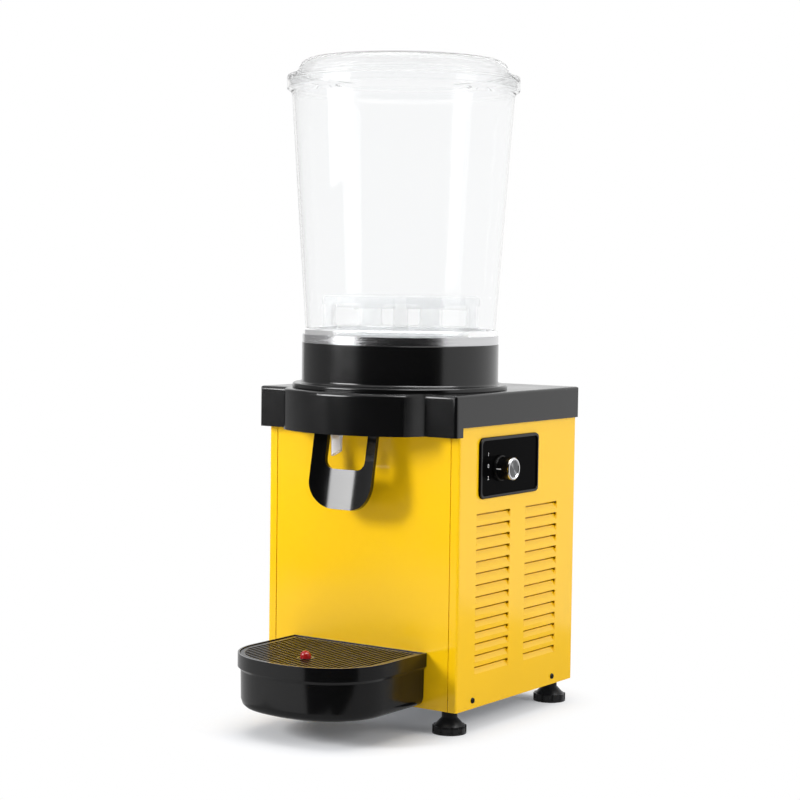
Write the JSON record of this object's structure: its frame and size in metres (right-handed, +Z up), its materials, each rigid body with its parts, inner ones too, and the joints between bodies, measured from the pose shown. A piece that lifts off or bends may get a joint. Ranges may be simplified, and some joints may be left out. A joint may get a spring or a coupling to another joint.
{
  "type": "cold drink dispenser",
  "caption": "Countertop cold drink dispenser: a clear tapered bowl on a cooled sheet-metal cabinet, with a push-lever tap, a drip tray and a side control panel.",
  "frame": {"origin": "on the floor, under the middle of the whole object's box", "axes": "+Z up, -Y to the front with the tap and the tray, +X to the side with the control panel"},
  "size_m": [0.2634, 0.3815, 0.6861],
  "materials": {
    "yellow_paint": "smooth gloss enamel on sheet steel",
    "black_moulding": "moulded, satin to gloss",
    "black_gloss": "gloss",
    "black_matte": "matte",
    "clear_plastic": "clear and polished",
    "milky_plastic": "translucent",
    "silicone": "milky",
    "grey_rubber": "soft",
    "steel": "brushed stainless",
    "zinc": "zinc plated",
    "bright_cap": "bright ring round a satin disc",
    "dark_screw": "blackened",
    "red_plastic": "gloss",
    "copper": "bare tube",
    "foam": "open cut foam",
    "dark_steel": "black enamel",
    "fins": "mill finish",
    "magnet": "sintered",
    "grey_plastic": "matte"
  },
  "bodies": {
    "cabinet": {"base_plate": "zinc", "front_panel": "yellow_paint", "right_side_panel": "yellow_paint", "left_side_panel": "yellow_paint", "rear_panel": "yellow_paint", "deck_plate": "zinc", "top_cover": "black_moulding", "collar": "black_moulding", "evaporator_pot": "steel", "evaporator_coil": "copper", "foam_insulation": "foam", "bowl_gasket": "grey_rubber", "mixer_spindle": "steel", "mixer_motor": "dark_steel", "motor_bracket": "zinc", "outlet_pipe": "steel", "hose_clip": "steel", "tap_hose": "silicone", "tap_carrier": "black_matte", "lever_pins": "steel", "tray_prongs": "zinc", "control_panel": "black_moulding", "rotary_switch": "grey_plastic", "compressor": "dark_steel", "compressor_mounts": "grey_rubber", "start_relay": "grey_plastic", "condenser": "fins", "fan_shroud": "black_matte", "fan_motor": "dark_steel", "filter_drier": "copper", "capillary_line": "copper", "discharge_line": "copper", "suction_line": "copper", "thermostat": "grey_plastic", "foot_nuts": "zinc", "cable_gland": "black_matte", "panel_screws": "dark_screw"},
    "lever": {"tap_lever": "black_gloss", "lever_springs": "steel"},
    "tray": {"drip_tray": "black_moulding"},
    "grid": {"drip_grid": "black_matte"},
    "float": {"level_float": "red_plastic"},
    "bowl": {"bowl": "clear_plastic"},
    "lid": {"lid": "clear_plastic"},
    "drum": {"mixer_drum": "milky_plastic", "drum_magnet": "magnet"},
    "drive": {"drive_magnet": "magnet", "motor_shaft": "steel"},
    "fan": {"fan": "grey_plastic"},
    "knob": {"control_knob": "black_gloss", "knob_cap": "bright_cap", "switch_shaft": "steel"},
    "front_right_foot": {"front_right_foot": "black_matte"},
    "front_left_foot": {"front_left_foot": "black_matte"},
    "rear_right_foot": {"rear_right_foot": "black_matte"},
    "rear_left_foot": {"rear_left_foot": "black_matte"}
  },
  "joints": [
    {"name": "lever_push", "type": "hinge", "parent": "cabinet", "child": "lever", "pos_m": [-0.00765, -0.08325, 0.328], "axis": [1, 0, 0], "range_deg": [0, 11], "stiffness_Nm_per_rad": 0.6, "springref_deg": -8.59},
    {"name": "tray_pull", "type": "slide", "parent": "cabinet", "child": "tray", "axis": [0, -1, 0], "range_m": [0, 0.075]},
    {"name": "grid_lift", "type": "slide", "parent": "tray", "child": "grid", "axis": [0, 0, 1], "range_m": [0, 0.06]},
    {"name": "float_rise", "type": "slide", "parent": "tray", "child": "float", "axis": [0, 0, 1], "range_m": [0, 0.008]},
    {"name": "bowl_lift", "type": "slide", "parent": "cabinet", "child": "bowl", "axis": [0, 0, 1], "range_m": [0, 0.1]},
    {"name": "lid_lift", "type": "slide", "parent": "bowl", "child": "lid", "axis": [0, 0, 1], "range_m": [0, 0.08]},
    {"name": "drum_spin", "type": "hinge", "parent": "cabinet", "child": "drum", "pos_m": [-0.00765, 0.01705, 0.342], "axis": [0, 0, 1], "continuous": true},
    {"name": "drive_spin", "type": "hinge", "parent": "cabinet", "child": "drive", "pos_m": [-0.00765, 0.01705, 0.317], "axis": [0, 0, 1], "continuous": true},
    {"name": "fan_spin", "type": "hinge", "parent": "cabinet", "child": "fan", "pos_m": [0.05615, 0.06575, 0.1055], "axis": [1, 0, 0], "continuous": true},
    {"name": "knob_turn", "type": "hinge", "parent": "cabinet", "child": "knob", "pos_m": [0.12035, 0.02275, 0.2675], "axis": [1, 0, 0], "range_deg": [-30, 30]},
    {"name": "front_right_foot_turn", "type": "hinge", "parent": "cabinet", "child": "front_right_foot", "pos_m": [0.09235, -0.03125, 0.012], "axis": [0, 0, 1], "continuous": true},
    {"name": "front_left_foot_turn", "type": "hinge", "parent": "cabinet", "child": "front_left_foot", "pos_m": [-0.10765, -0.03125, 0.012], "axis": [0, 0, 1], "continuous": true},
    {"name": "rear_right_foot_turn", "type": "hinge", "parent": "cabinet", "child": "rear_right_foot", "pos_m": [0.09235, 0.16925, 0.012], "axis": [0, 0, 1], "continuous": true},
    {"name": "rear_left_foot_turn", "type": "hinge", "parent": "cabinet", "child": "rear_left_foot", "pos_m": [-0.10765, 0.16925, 0.012], "axis": [0, 0, 1], "continuous": true}
  ],
  "couplings": [
    {"joint": "drive_spin", "follows": "drum_spin", "ratio": 1}
  ]
}
